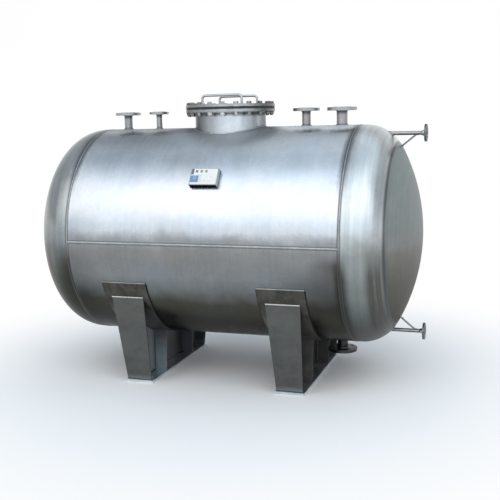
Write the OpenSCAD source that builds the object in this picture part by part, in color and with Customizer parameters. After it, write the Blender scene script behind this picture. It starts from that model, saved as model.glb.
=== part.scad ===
// Horizontal stainless storage tank on two saddles, with a bolted manway, flanged nozzles and a nameplate.
// Millimetres. X runs along the vessel, +Z is up, and the front with the nameplate faces -Y.
// The origin is on the floor, under the middle of the overall length.

/* [Vessel] */
// Inside diameter of the shell and heads
vessel_d = 1200; // [1100:10:1300]
// Plate thickness of the shell and heads
wall = 6; // [4:1:10]
// Length of the shell between the two girth welds
shell_length = 1530; // [1450:10:1800]
// Cylindrical skirt of each head, outside the girth weld
head_skirt = 30; // [15:5:50]
// Outside radius of the knuckle that turns each head into the skirt
knuckle_r = 204; // [150:2:240]
// Outside radius of the dished crown of each head
crown_r = 1048; // [950:2:1200]

/* [Weld beads] */
// Width of the girth and long seam beads
bead_width = 10; // [8:1:16]
// Height of the girth beads above the plate
girth_bead_height = 2.5; // [1.5:0.5:4]
// Height of the long seam bead above the plate
long_bead_height = 2; // [1:0.5:3]
// Clearance left round every piece that is set into or welded on another
weld_gap = 0.2; // [0.1:0.05:0.4]

/* [Manway] */
// Outside diameter of the manway neck
neck_d = 408; // [350:2:420]
// Wall of the manway neck
neck_wall = 4; // [3:1:8]
// Height of the lower flange's sealing face above the top of the shell
neck_height = 102; // [90:2:180]
// Outside diameter of the manway flange and cover
cover_d = 515; // [505:5:560]
// Thickness of the manway's lower flange
manway_flange_t = 16; // [12:1:24]
// Thickness of the rubber gasket between flange and cover
gasket_t = 12; // [4:1:16]
// How far the gasket's edge stays inside the flange's edge
gasket_inset = 2; // [0:0.5:4]
// Thickness of the cover
cover_t = 16; // [12:1:24]
// Bolt circle of the manway
cover_bolt_circle = 480; // [470:2:482]
// Number of manway bolts
cover_bolts = 20; // [16:4:24]
// Bolt holes of the manway
cover_hole_d = 18; // [14:1:20]

/* [Cover handles] */
// Diameter of the handle rod
handle_rod_d = 14; // [10:1:18]
// Distance between the two legs of a handle, axis to axis
handle_span = 236; // [160:4:260]
// Height of the handle's bar above the cover, to its axis
handle_height = 50; // [40:1:70]
// Bend radius of the handle rod, to its axis
handle_bend_r = 20; // [14:1:26]
// Distance of each handle from the middle of the cover
handle_offset = 140; // [100:5:160]

/* [Nozzle places] */
// Distance of the outer top nozzles from the girth welds
outer_nozzle_inset = 108; // [90:2:160]
// Distance between the outer and the inner top nozzle at each end
nozzle_spacing = 204; // [170:2:240]
// Distance of the drain nozzle from the right girth weld
drain_inset = 110; // [90:2:160]
// Height of the top nozzles' faces above the shell
nozzle_height = 100; // [80:5:160]
// Depth of the drain nozzle's face below the shell
drain_depth = 80; // [70:5:120]
// How far the upper level gauge nozzle's axis lies below the top of the shell
upper_gauge_inset = 51; // [40:1:90]
// How far the lower level gauge nozzle's axis lies above the underside of the shell
lower_gauge_inset = 61; // [40:1:90]
// How far the gauge nozzles' faces stand beyond the crown of the head
gauge_reach = 25; // [10:5:80]
// How far the end of each pipe stays behind its flange's sealing face
pipe_setback = 5; // [3:0.5:8]
// Height of the raised sealing face on a flange
raised_face_t = 2; // [1:0.5:3]

/* [Nozzle bore 15] */
// Outside diameter of the pipe
dn15_pipe_d = 21.3; // [18:0.1:22]
// Wall of the pipe
dn15_pipe_wall = 2.8; // [2:0.1:3.5]
// Outside diameter of the flange
dn15_flange_d = 95; // [90:1:105]
// Thickness of the flange
dn15_flange_t = 14; // [12:1:18]
// Bolt circle of the flange
dn15_bolt_circle = 65; // [63:1:68]
// Bolt holes of the flange
dn15_hole_d = 14; // [12:1:14]
// Diameter of the raised sealing face
dn15_face_d = 46; // [40:1:48]

/* [Nozzle bore 25] */
// Outside diameter of the pipe
dn25_pipe_d = 33.7; // [30:0.1:36]
// Wall of the pipe
dn25_pipe_wall = 3.2; // [2:0.1:4]
// Outside diameter of the flange
dn25_flange_d = 115; // [110:1:125]
// Thickness of the flange
dn25_flange_t = 16; // [14:1:20]
// Bolt circle of the flange
dn25_bolt_circle = 85; // [84:1:88]
// Bolt holes of the flange
dn25_hole_d = 14; // [12:1:15]
// Diameter of the raised sealing face
dn25_face_d = 68; // [60:1:69]

/* [Nozzle bore 40] */
// Outside diameter of the pipe
dn40_pipe_d = 48.3; // [44:0.1:50]
// Wall of the pipe
dn40_pipe_wall = 3.2; // [2:0.1:4]
// Outside diameter of the flange
dn40_flange_d = 150; // [145:1:160]
// Thickness of the flange
dn40_flange_t = 18; // [16:1:22]
// Bolt circle of the flange
dn40_bolt_circle = 110; // [108:1:114]
// Bolt holes of the flange
dn40_hole_d = 18; // [14:1:18]
// Diameter of the raised sealing face
dn40_face_d = 88; // [80:1:89]

/* [Nozzle bore 50] */
// Outside diameter of the pipe
dn50_pipe_d = 60.3; // [57:0.1:62]
// Wall of the pipe
dn50_pipe_wall = 3.6; // [2:0.1:4]
// Outside diameter of the flange
dn50_flange_d = 165; // [160:1:175]
// Thickness of the flange
dn50_flange_t = 20; // [16:1:22]
// Bolt circle of the flange
dn50_bolt_circle = 125; // [123:1:129]
// Bolt holes of the flange
dn50_hole_d = 18; // [14:1:18]
// Diameter of the raised sealing face
dn50_face_d = 102; // [90:1:104]

/* [Gauge nozzle braces] */
// Diameter of the brace rod
brace_d = 10; // [8:1:12]
// Distance from the flange's back to where the brace meets the pipe
brace_setback = 36; // [28:1:50]
// Drop of the brace from the pipe's axis to its foot on the head
brace_drop = 80; // [60:1:90]

/* [Saddles] */
// Distance of each saddle's middle from the nearer girth weld
saddle_inset = 317; // [260:4:360]
// Height of the shell's underside above the floor
saddle_height = 230; // [200:5:300]
// Length of the base plate across the vessel
base_length = 850; // [800:10:900]
// Width of the base plate along the vessel
base_width = 170; // [160:2:200]
// Thickness of the base plate
base_t = 14; // [10:1:20]
// Thickness of the upright web
web_t = 8; // [6:1:10]
// Thickness of the ribs
rib_t = 8; // [6:1:10]
// Width of the ribs at the base
rib_width_low = 148; // [130:2:150]
// Width of the ribs at the height where the outer pair meets the wear plate
rib_width_high = 190; // [160:2:200]
// Angle below the horizontal at which the outer ribs meet the wear plate
rib_angle = 31; // [28:1:38]
// Distance of the inner ribs from the middle of the base
inner_rib_y = 205; // [150:5:240]
// How far the foot of the outer rib stays inside the end of the base plate
rib_inset = 8; // [4:1:20]
// Thickness of the wear plate
wear_t = 6; // [4:1:8]
// Width of the wear plate along the vessel
wear_width = 260; // [230:5:300]
// Angle below the horizontal at which the wear plate ends
wear_angle = 22; // [18:1:26]
// Diameter of the anchor bolt holes
anchor_d = 24; // [20:1:28]
// Distance of the anchor holes from the ends of the base plate
anchor_inset = 65; // [50:1:90]
// Distance of the anchor holes from the web's plane
anchor_offset = 45; // [30:1:60]

/* [Nameplate] */
// Width of the nameplate bracket along the vessel
plate_width = 155; // [120:5:200]
// Height of the bracket's face, measured up the slope
plate_height = 100; // [90:2:150]
// Distance of the bracket's face from the shell
plate_standoff = 30; // [15:1:40]
// Sheet thickness of the bracket
bracket_t = 2; // [1.5:0.5:3]
// Thickness of the nameplate itself
plate_t = 1; // [0.8:0.1:2]
// Margin of the bracket that shows round the nameplate
plate_margin = 4; // [2:1:10]
// Middle of the nameplate along the vessel
plate_x = 30; // [-100:2:100]
// Angle of the nameplate above the horizontal
plate_angle = 34; // [30:1:50]

/* [Hidden] */
$fn = 96;

shell_r = vessel_d / 2 + wall;
half_shell = shell_length / 2;
axis_z = saddle_height + shell_r;

// Where the crown and the knuckle of a head meet, seen from the crown's centre
crown_angle = asin((shell_r - knuckle_r) / (crown_r - knuckle_r));
crown_centre = head_skirt - (crown_r - knuckle_r) * cos(crown_angle);
head_depth = crown_centre + crown_r;

// Overall reach to the left and right, which places the origin
left_reach = half_shell + head_depth;
gauge_face_x = left_reach + gauge_reach;
middle_shift = (gauge_face_x - left_reach) / 2;

outer_nozzle_x = half_shell - outer_nozzle_inset;
inner_nozzle_x = outer_nozzle_x - nozzle_spacing;
top_nozzle_x = [-outer_nozzle_x, -inner_nozzle_x, inner_nozzle_x, outer_nozzle_x];
drain_x = half_shell - drain_inset;
saddle_x = half_shell - saddle_inset;
anchor_y = base_length / 2 - anchor_inset;

flange_face_z = shell_r + neck_height;
cover_top_z = flange_face_z + gasket_t + cover_t;
drain_face_z = -(shell_r + drain_depth);

// Pipe diameter, pipe wall, flange diameter, flange thickness, bolt circle, hole diameter, face diameter
dn15 = [dn15_pipe_d, dn15_pipe_wall, dn15_flange_d, dn15_flange_t, dn15_bolt_circle, dn15_hole_d, dn15_face_d];
dn25 = [dn25_pipe_d, dn25_pipe_wall, dn25_flange_d, dn25_flange_t, dn25_bolt_circle, dn25_hole_d, dn25_face_d];
dn40 = [dn40_pipe_d, dn40_pipe_wall, dn40_flange_d, dn40_flange_t, dn40_bolt_circle, dn40_hole_d, dn40_face_d];
dn50 = [dn50_pipe_d, dn50_pipe_wall, dn50_flange_d, dn50_flange_t, dn50_bolt_circle, dn50_hole_d, dn50_face_d];
top_sizes = [dn40, dn25, dn40, dn50];
flange_bolts = 4;

wear_in_r = shell_r + weld_gap;
wear_out_r = wear_in_r + wear_t;
rib_seat_r = wear_out_r + weld_gap;
// Outer ribs lean from their foot on the base to the wear plate
rib_foot_y = base_length / 2 - rib_inset;
rib_top_y = rib_seat_r * cos(rib_angle);
rib_top_z = axis_z - rib_seat_r * sin(rib_angle);
rib_lean = (rib_top_y - rib_foot_y) / (rib_top_z - base_t);
// Thickness of a leaning rib as a level cut shows it
rib_cut_t = rib_t * sqrt(1 + rib_lean * rib_lean);

steel = [0.60, 0.63, 0.65];
dull_steel = [0.42, 0.43, 0.43];

// Turns a shape whose axis is Z so that its axis is X
module along_x() {
    rotate([0, 90, 0]) children();
}

// Everything above the floor is drawn about the vessel's own axis and moved to its place
module on_axis() {
    translate([-middle_shift, 0, axis_z]) children();
}

// Half profile of a head, radius across and depth up, grown inwards by inset
module head_profile(inset) {
    tangent_r = (crown_r - inset) * sin(crown_angle);
    intersection() {
        translate([0, crown_centre]) circle(r = crown_r - inset, $fn = 360);
        square([tangent_r, crown_r]);
    }
    intersection() {
        translate([shell_r - knuckle_r, head_skirt]) circle(r = knuckle_r - inset, $fn = 180);
        translate([0, head_skirt]) square([shell_r, knuckle_r]);
    }
    square([shell_r - inset, head_skirt]);
}

// Solid of revolution of a head along +X, from the girth weld outwards
module head_body(inset) {
    translate([half_shell, 0, 0]) along_x() rotate_extrude($fn = 180) head_profile(inset);
}

module head() {
    color(steel) difference() {
        head_body(0);
        head_body(wall);
        gauge_holes();
    }
}

module gauge_holes() {
    for (side = [1, -1])
        translate([half_shell, 0, gauge_z(side)])
            along_x() cylinder(h = head_depth, r = dn15_pipe_d / 2 + weld_gap);
}

module plain_head() {
    color(steel) difference() {
        head_body(0);
        head_body(wall);
    }
}

function gauge_z(side) = side > 0 ? shell_r - upper_gauge_inset : lower_gauge_inset - shell_r;

module shell_tube() {
    color(steel) difference() {
        translate([-half_shell, 0, 0]) along_x() cylinder(h = shell_length, r = shell_r, $fn = 180);
        translate([-half_shell - 1, 0, 0]) along_x() cylinder(h = shell_length + 2, r = vessel_d / 2, $fn = 180);
        cylinder(h = shell_r + 1, r = neck_d / 2 + weld_gap);
        for (i = [0:3])
            translate([top_nozzle_x[i], 0, 0]) cylinder(h = shell_r + 1, r = top_sizes[i][0] / 2 + weld_gap);
        translate([drain_x, 0, -shell_r - 1]) cylinder(h = shell_r, r = dn50_pipe_d / 2 + weld_gap);
    }
}

// Crowned cross-section of a weld bead that sits on a line at the given radius
module bead_section(height) {
    crown = (bead_width * bead_width / 4 + height * height) / (2 * height);
    intersection() {
        translate([shell_r + height - crown, 0]) circle(r = crown);
        translate([shell_r, -bead_width / 2]) square([height, bead_width]);
    }
}

module girth_weld(side) {
    color(dull_steel) translate([side * half_shell, 0, 0])
        along_x() rotate_extrude($fn = 180) bead_section(girth_bead_height);
}

module long_seam() {
    seam_length = shell_length - bead_width;
    color(dull_steel) translate([-seam_length / 2, 0, 0])
        along_x_profile(seam_length) mirror([1, 0]) bead_section(long_bead_height);
}

// Ring of bolt holes about Z
module bolt_holes(circle_d, count, hole_d, height) {
    for (i = [0:count - 1])
        rotate([0, 0, (i + 0.5) * 360 / count])
            translate([circle_d / 2, 0, -1]) cylinder(h = height + 2, r = hole_d / 2, $fn = 32);
}

module manway_neck() {
    neck_top = flange_face_z - pipe_setback;
    color(steel) difference() {
        cylinder(h = neck_top, r = neck_d / 2);
        translate([0, 0, -1]) cylinder(h = neck_top + 2, r = neck_d / 2 - neck_wall);
        translate([-half_shell, 0, 0]) along_x() cylinder(h = shell_length, r = vessel_d / 2, $fn = 180);
    }
}

// Flat ring with the manway's bolt holes, from z = 0 up
module manway_ring(outer_d, inner_d, thickness) {
    difference() {
        cylinder(h = thickness, r = outer_d / 2);
        translate([0, 0, -1]) cylinder(h = thickness + 2, r = inner_d / 2);
        bolt_holes(cover_bolt_circle, cover_bolts, cover_hole_d, thickness);
    }
}

module manway_flange() {
    color(steel) translate([0, 0, flange_face_z - manway_flange_t])
        manway_ring(cover_d, neck_d + 2 * weld_gap, manway_flange_t);
}

module manway_gasket() {
    color([0.10, 0.12, 0.15]) translate([0, 0, flange_face_z])
        manway_ring(cover_d - 2 * gasket_inset, neck_d + 2 * weld_gap, gasket_t);
}

module manway_cover() {
    color(steel) translate([0, 0, flange_face_z + gasket_t]) difference() {
        cylinder(h = cover_t, r = cover_d / 2);
        bolt_holes(cover_bolt_circle, cover_bolts, cover_hole_d, cover_t);
    }
}

// Bent rod handle: two legs, two quarter bends and a bar
module cover_handle(side) {
    leg = handle_height - handle_bend_r;
    bar = handle_span - 2 * handle_bend_r;
    color(steel) translate([0, side * handle_offset, cover_top_z]) {
        for (end = [-1, 1]) {
            translate([end * handle_span / 2, 0, 0]) cylinder(h = leg, r = handle_rod_d / 2);
            translate([end * bar / 2, 0, leg])
                rotate([90, end > 0 ? 0 : -90, 0])
                    rotate_extrude(angle = 90)
                        translate([handle_bend_r, 0]) circle(r = handle_rod_d / 2, $fn = 48);
        }
        translate([-bar / 2, 0, handle_height]) along_x() cylinder(h = bar, r = handle_rod_d / 2);
    }
}

// Pipe from z = start to z = top, of the given nozzle size
module pipe(size, start, top) {
    difference() {
        translate([0, 0, start]) cylinder(h = top - start, r = size[0] / 2);
        translate([0, 0, start - 1]) cylinder(h = top - start + 2, r = size[0] / 2 - size[1]);
    }
}

// Plate flange with a raised face, sealing face at z = 0 and body below it
module plate_flange(size) {
    translate([0, 0, -size[3]]) difference() {
        union() {
            cylinder(h = size[3] - raised_face_t, r = size[2] / 2);
            cylinder(h = size[3], r = size[6] / 2);
        }
        translate([0, 0, -1]) cylinder(h = size[3] + 2, r = size[0] / 2 + weld_gap);
        bolt_holes(size[4], flange_bolts, size[5], size[3]);
    }
}

module top_pipe(i) {
    color(steel) difference() {
        translate([top_nozzle_x[i], 0, 0])
            pipe(top_sizes[i], shell_r - 2 * wall, shell_r + nozzle_height - pipe_setback);
        translate([-half_shell, 0, 0]) along_x() cylinder(h = shell_length, r = vessel_d / 2, $fn = 180);
    }
}

module top_flange(i) {
    color(steel) translate([top_nozzle_x[i], 0, shell_r + nozzle_height]) plate_flange(top_sizes[i]);
}

module drain_pipe() {
    color(steel) difference() {
        translate([drain_x, 0, 0]) pipe(dn50, drain_face_z + pipe_setback, -shell_r + 2 * wall);
        translate([-half_shell, 0, 0]) along_x() cylinder(h = shell_length, r = vessel_d / 2, $fn = 180);
    }
}

module drain_flange() {
    color(steel) translate([drain_x, 0, drain_face_z]) mirror([0, 0, 1]) plate_flange(dn50);
}

module gauge_pipe(side) {
    color(steel) difference() {
        translate([0, 0, gauge_z(side)]) along_x() pipe(dn15, half_shell, gauge_face_x - pipe_setback);
        head_body(wall);
    }
}

module gauge_flange(side) {
    color(steel) translate([gauge_face_x, 0, gauge_z(side)]) along_x() plate_flange(dn15);
}

// Slanting rod between a gauge pipe and the head, on the side nearer the vessel's axis
module gauge_brace(side) {
    top_x = gauge_face_x - dn15_flange_t - brace_setback;
    foot_z = gauge_z(side) - side * brace_drop;
    foot_x = half_shell + crown_centre + sqrt(crown_r * crown_r - foot_z * foot_z) - 2 * wall;
    run = top_x - foot_x;
    rod = sqrt(run * run + brace_drop * brace_drop);
    color(steel) difference() {
        translate([foot_x, 0, foot_z]) rotate([0, atan2(run, side * brace_drop), 0]) cylinder(h = rod, r = brace_d / 2);
        head_body(-weld_gap);
        translate([half_shell, 0, gauge_z(side)]) along_x() cylinder(h = gauge_face_x, r = dn15_pipe_d / 2 + weld_gap);
    }
}

// Wear plate: a band round the underside of the shell
module wear_plate() {
    reach = 2 * shell_r;
    color(dull_steel) difference() {
        translate([-wear_width / 2, 0, 0]) along_x() cylinder(h = wear_width, r = wear_out_r, $fn = 180);
        translate([-wear_width / 2 - 1, 0, 0]) along_x() cylinder(h = wear_width + 2, r = wear_in_r, $fn = 180);
        translate([-reach, 0, 0]) along_x_profile(2 * reach)
            polygon([
                [0, 0], [reach * cos(wear_angle), -reach * sin(wear_angle)],
                [reach, reach], [-reach, reach], [-reach * cos(wear_angle), -reach * sin(wear_angle)]
            ]);
    }
}

// Extrudes a profile drawn in Y (across) and Z (up) along X
module along_x_profile(length) {
    rotate([90, 0, 90]) linear_extrude(height = length) children();
}

// The vessel's outside with its wear plate, which the saddle's plates are cut to fit
module saddle_seat() {
    translate([-shell_r, 0, axis_z]) along_x() cylinder(h = 2 * shell_r, r = rib_seat_r, $fn = 180);
}

module saddle_web() {
    color(dull_steel) difference() {
        translate([-web_t / 2, 0, 0]) along_x_profile(web_t)
            polygon([
                [-rib_foot_y + rib_cut_t, base_t], [rib_foot_y - rib_cut_t, base_t],
                [rib_top_y - rib_cut_t, rib_top_z], [-rib_top_y + rib_cut_t, rib_top_z]
            ]);
        saddle_seat();
    }
}

// Slopes of a rib's two edges, narrow at the base and wide at the top
module rib_outline() {
    slope = (rib_width_high - rib_width_low) / 2 / (rib_top_z - base_t);
    high = rib_width_low / 2 + slope * (axis_z - base_t);
    translate([0, base_length, 0]) rotate([90, 0, 0]) linear_extrude(height = 2 * base_length)
        polygon([
            [-rib_width_low / 2, base_t], [rib_width_low / 2, base_t],
            [high, axis_z], [-high, axis_z]
        ]);
}

module outer_ribs() {
    color(dull_steel) difference() {
        intersection() {
            rib_outline();
            for (side = [-1, 1])
                translate([-rib_width_high, 0, 0]) along_x_profile(2 * rib_width_high)
                    polygon([
                        [side * rib_foot_y, base_t], [side * rib_top_y, rib_top_z],
                        [side * (rib_top_y - rib_cut_t), rib_top_z], [side * (rib_foot_y - rib_cut_t), base_t]
                    ]);
        }
        saddle_seat();
    }
}

module inner_ribs() {
    color(dull_steel) difference() {
        intersection() {
            rib_outline();
            for (side = [-1, 1])
                translate([-rib_width_high, side * inner_rib_y - rib_t / 2, 0])
                    cube([2 * rib_width_high, rib_t, axis_z]);
        }
        saddle_seat();
        translate([-web_t / 2, -base_length, 0]) cube([web_t, 2 * base_length, axis_z]);
    }
}

module saddle_base() {
    color(dull_steel) difference() {
        translate([-base_width / 2, -base_length / 2, 0]) cube([base_width, base_length, base_t]);
        for (side = [-1, 1])
            translate([anchor_offset, side * anchor_y, -1]) cylinder(h = base_t + 2, r = anchor_d / 2, $fn = 32);
    }
}

// A saddle's place along the vessel; the plates stand on the floor, mirrored so that the anchors face inwards
module saddle_place(side) {
    translate([side * saddle_x - middle_shift, 0, 0]) mirror([side > 0 ? 1 : 0, 0, 0]) children();
}

// Local frame of the nameplate: X along the vessel, Z straight out from the shell, from the vessel's axis
module plate_place() {
    translate([plate_x, 0, 0]) rotate([90 - plate_angle, 0, 0]) children();
}

// Folded sheet bracket: a face and a leg at each end, open above and below; the legs end on the shell
module nameplate_bracket() {
    face_z = shell_r + plate_standoff;
    color(steel) difference() {
        plate_place() translate([-plate_width / 2, -plate_height / 2, 0]) cube([plate_width, plate_height, face_z]);
        plate_place() translate([-plate_width / 2 + bracket_t, -plate_height, -1])
            cube([plate_width - 2 * bracket_t, 2 * plate_height, face_z - bracket_t + 1]);
        translate([-half_shell, 0, 0]) along_x() cylinder(h = shell_length, r = shell_r + weld_gap, $fn = 180);
    }
}

module nameplate() {
    color([0.75, 0.78, 0.82]) plate_place()
        translate([-plate_width / 2 + plate_margin, -plate_height / 2 + plate_margin, shell_r + plate_standoff])
            cube([plate_width - 2 * plate_margin, plate_height - 2 * plate_margin, plate_t]);
}

on_axis() shell_tube();  // shell
on_axis() mirror([1, 0, 0]) plain_head();  // left_head
on_axis() head();  // right_head
on_axis() girth_weld(-1);  // left_girth_weld
on_axis() girth_weld(1);  // right_girth_weld
on_axis() long_seam();  // long_seam_weld
on_axis() manway_neck();
on_axis() manway_flange();
on_axis() manway_gasket();
on_axis() manway_cover();
on_axis() cover_handle(-1);  // front_cover_handle
on_axis() cover_handle(1);  // rear_cover_handle
on_axis() top_pipe(0);  // left_outer_nozzle_pipe
on_axis() top_flange(0);  // left_outer_nozzle_flange
on_axis() top_pipe(1);  // left_inner_nozzle_pipe
on_axis() top_flange(1);  // left_inner_nozzle_flange
on_axis() top_pipe(2);  // right_inner_nozzle_pipe
on_axis() top_flange(2);  // right_inner_nozzle_flange
on_axis() top_pipe(3);  // right_outer_nozzle_pipe
on_axis() top_flange(3);  // right_outer_nozzle_flange
on_axis() drain_pipe();  // drain_nozzle_pipe
on_axis() drain_flange();  // drain_nozzle_flange
on_axis() gauge_pipe(1);  // upper_gauge_pipe
on_axis() gauge_flange(1);  // upper_gauge_flange
on_axis() gauge_brace(1);  // upper_gauge_brace
on_axis() gauge_pipe(-1);  // lower_gauge_pipe
on_axis() gauge_flange(-1);  // lower_gauge_flange
on_axis() gauge_brace(-1);  // lower_gauge_brace
on_axis() translate([-saddle_x, 0, 0]) wear_plate();  // left_saddle_wear_plate
saddle_place(-1) saddle_web();  // left_saddle_web
saddle_place(-1) outer_ribs();  // left_saddle_outer_ribs
saddle_place(-1) inner_ribs();  // left_saddle_inner_ribs
saddle_place(-1) saddle_base();  // left_saddle_base
on_axis() translate([saddle_x, 0, 0]) wear_plate();  // right_saddle_wear_plate
saddle_place(1) saddle_web();  // right_saddle_web
saddle_place(1) outer_ribs();  // right_saddle_outer_ribs
saddle_place(1) inner_ribs();  // right_saddle_inner_ribs
saddle_place(1) saddle_base();  // right_saddle_base
on_axis() nameplate_bracket();
on_axis() nameplate();
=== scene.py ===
"""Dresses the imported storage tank: steel finishes, welds, manway bolts, nameplate, studio and camera."""

import math
from types import SimpleNamespace

import bmesh
import bpy
from mathutils import Matrix, Vector


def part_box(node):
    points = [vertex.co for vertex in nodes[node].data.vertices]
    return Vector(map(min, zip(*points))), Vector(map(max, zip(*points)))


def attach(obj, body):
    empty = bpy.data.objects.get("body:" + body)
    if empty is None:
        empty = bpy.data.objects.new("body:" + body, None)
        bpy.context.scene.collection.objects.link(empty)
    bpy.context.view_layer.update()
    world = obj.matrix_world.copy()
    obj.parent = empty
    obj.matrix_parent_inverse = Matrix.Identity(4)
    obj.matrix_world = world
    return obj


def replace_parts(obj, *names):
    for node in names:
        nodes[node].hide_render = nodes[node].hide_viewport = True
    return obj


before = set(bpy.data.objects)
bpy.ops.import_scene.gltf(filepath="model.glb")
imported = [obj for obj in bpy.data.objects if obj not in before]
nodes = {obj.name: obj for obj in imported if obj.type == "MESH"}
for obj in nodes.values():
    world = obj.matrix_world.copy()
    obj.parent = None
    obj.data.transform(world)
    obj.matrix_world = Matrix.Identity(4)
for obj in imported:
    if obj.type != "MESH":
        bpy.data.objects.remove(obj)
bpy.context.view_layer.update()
X_AXIS, Y_AXIS, Z_AXIS = Vector((1, 0, 0)), Vector((0, 1, 0)), Vector((0, 0, 1))

# Sizes of the vessel, read from the frame, in metres
shell_low, shell_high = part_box("shell")
SHELL_R = (shell_high.z - shell_low.z) / 2
AXIS_Z = (shell_high.z + shell_low.z) / 2
MIDDLE_X = (shell_low.x + shell_high.x) / 2
HALF_SHELL = (shell_high.x - shell_low.x) / 2

# Dished heads: straight skirt, knuckle and crown, as in the part's source
HEAD_SKIRT, KNUCKLE_R, CROWN_R = 0.03, 0.204, 1.048
KNUCKLE_MIDDLE = SHELL_R - KNUCKLE_R
CROWN_EDGE = CROWN_R * KNUCKLE_MIDDLE / (CROWN_R - KNUCKLE_R)
CROWN_MIDDLE = HALF_SHELL + HEAD_SKIRT - math.sqrt((CROWN_R - KNUCKLE_R) ** 2 - KNUCKLE_MIDDLE ** 2)

# Manway bolts: M16 through the cover's holes
BOLT_COUNT, BOLT_CIRCLE, BOLT_R, BOLT_FLATS = 20, 0.48, 0.008, 0.024
NUT_HEIGHT, BOLT_HEAD, WASHER_R, WASHER_T, THREAD_END = 0.013, 0.01, 0.015, 0.003, 0.006

# Saddle ribs at the base plate, from the part's source
RIB_FOOT_Y, RIB_FOOT_HALF, RIB_THICK = 0.417, 0.074, 0.008

# Nameplate and its bracket: sizes and angle from the part's source, then the sheet's own details
PLATE_LONG, PLATE_HIGH, PLATE_THICK, PLATE_MARGIN = 0.147, 0.092, 0.001, 0.004
PLATE_ANGLE = math.radians(34)
PLATE_OUT = Vector((0, -math.cos(PLATE_ANGLE), math.sin(PLATE_ANGLE)))
PLATE_UP = Vector((0, math.sin(PLATE_ANGLE), math.cos(PLATE_ANGLE)))
PLATE_CORNER, PLATE_BORDER, PLATE_STEP, PLATE_CHAMFER = 0.006, 0.0025, 0.0004, 0.0002
RIVET_INSET, RIVET_R, RIVET_RISE = 0.0075, 0.0022, 0.0011

# Radii of the fillet welds, and how far their middles stand off the corner they fill
NECK_FILLET, NOZZLE_FILLET, GAUGE_FILLET, HANDLE_FILLET = 0.0055, 0.0042, 0.0034, 0.003
BRACKET_FILLET, BRACE_FILLET, SADDLE_FILLET, RIB_TOP_FILLET = 0.0024, 0.0019, 0.0042, 0.0046
STAND_OFF = 0.001

# Upright pipes on the shell: place along it, outside radius, and 1 on top or -1 below
ROOTS = []
for name in sorted(nodes):
    if name == "manway_neck" or name.endswith("_nozzle_pipe"):
        low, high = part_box(name)
        side = 1 if low.z > AXIS_Z else -1
        ROOTS.append(((low.x + high.x) / 2 - MIDDLE_X, (high.x - low.x) / 2, side))

# Dull zone round a root: its reach and the share of its dark joint, for the neck and for the small nozzles
LEAST_NECK_R, NECK_ZONE, NOZZLE_ZONE = 0.1, (0.26, 0.22), (0.16, 0.12)
ROOT_ROUGHER = 0.4
# The matt zone's colour at the left and right ends; the left one darker as painted shade
MATT_LEFT, MATT_RIGHT = (0.325, 0.34, 0.355), (0.58, 0.6, 0.62)

# Painted shading that multiplies the steel's colour, by height over the radius; one number stands for a grey
# The shell's: painted shade on its underside and along the very top, painted highlight above the middle
SHELL_FILM = (
    (-1, (0.037, 0.036, 0.027)), (-0.89, (0.03, 0.029, 0.017)), (-0.78, (0.048, 0.046, 0.028)),
    (-0.66, (0.112, 0.105, 0.078)), (-0.54, (0.143, 0.132, 0.102)), (-0.42, (0.335, 0.335, 0.32)),
    (-0.3, (0.435, 0.435, 0.425)), (-0.15, (0.405, 0.405, 0.395)), (-0.05, (0.44, 0.44, 0.43)),
    (0.04, 0.575), (0.13, 1), (0.4, (1.04, 1.03, 1.03)), (0.8, 1.07), (0.88, 0.895), (0.95, 0.74),
    (0.99, 0.48))
# The heads': painted shade low down, a little painted highlight high up
HEAD_FILM = (
    (-1, (0.13, 0.13, 0.12)), (-0.7, (0.2, 0.2, 0.185)), (-0.5, (0.34, 0.35, 0.32)),
    (-0.3, (0.45, 0.47, 0.45)), (-0.05, (0.56, 0.58, 0.58)), (0.15, (1.05, 1.05, 1.04)),
    (0.5, (1.09, 1.08, 1.07)))
# The crown's colour, in place of the head's: painted shade, darkest low down
CROWN_FILM = (
    (-1, (0.036, 0.035, 0.031)), (-0.62, (0.042, 0.04, 0.033)), (-0.34, (0.074, 0.075, 0.062)),
    (-0.2, (0.108, 0.108, 0.093)), (-0.1, (0.138, 0.137, 0.122)), (-0.02, (0.18, 0.188, 0.184)),
    (0.2, (0.19, 0.219, 0.216)), (0.8, (0.204, 0.238, 0.233)))
# The left end of the shell: painted shade, with a little painted highlight high up
LEFT_FILM = (
    (-1, 0.2), (-0.78, 0.27), (-0.63, 0.48), (-0.4, 0.66), (-0.24, 0.72), (-0.05, 0.82),
    (0.16, 0.8), (0.29, 0.9), (0.47, 0.96), (0.6, 1.15), (0.8, 1.18))
# The left head: painted shade
LEFT_HEAD_FILM = (
    (-1, (0.11, 0.11, 0.095)), (-0.76, (0.15, 0.15, 0.125)), (-0.58, (0.22, 0.22, 0.185)),
    (-0.36, (0.37, 0.37, 0.34)), (-0.12, 0.58), (0.12, 0.64), (0.4, 0.72), (0.7, 0.86))

# Painted shade by bearing in degrees round an upright axis, with 0 at the front and 90 at the right
NECK_FILM = (
    (-180, 0.3), (-60, 0.2), (-46, 0.2), (-36, 0.32), (-30, 0.38), (-20, 0.55), (-9, 0.64), (0, 0.8),
    (11, 0.98), (32, 0.98), (40, 0.8), (50, 0.77), (56, 0.78), (62, 0.95), (69, 0.86), (77, 0.48),
    (87, 0.28), (120, 0.35), (180, 0.35))
RIM_FILM = (
    (-180, 0.6), (-95, 0.42), (-45, 0.45), (-25, 0.66), (-5, 0.9), (12, 1), (36, 1), (52, 0.66),
    (70, 0.4), (120, 0.4), (180, 0.6))
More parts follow.
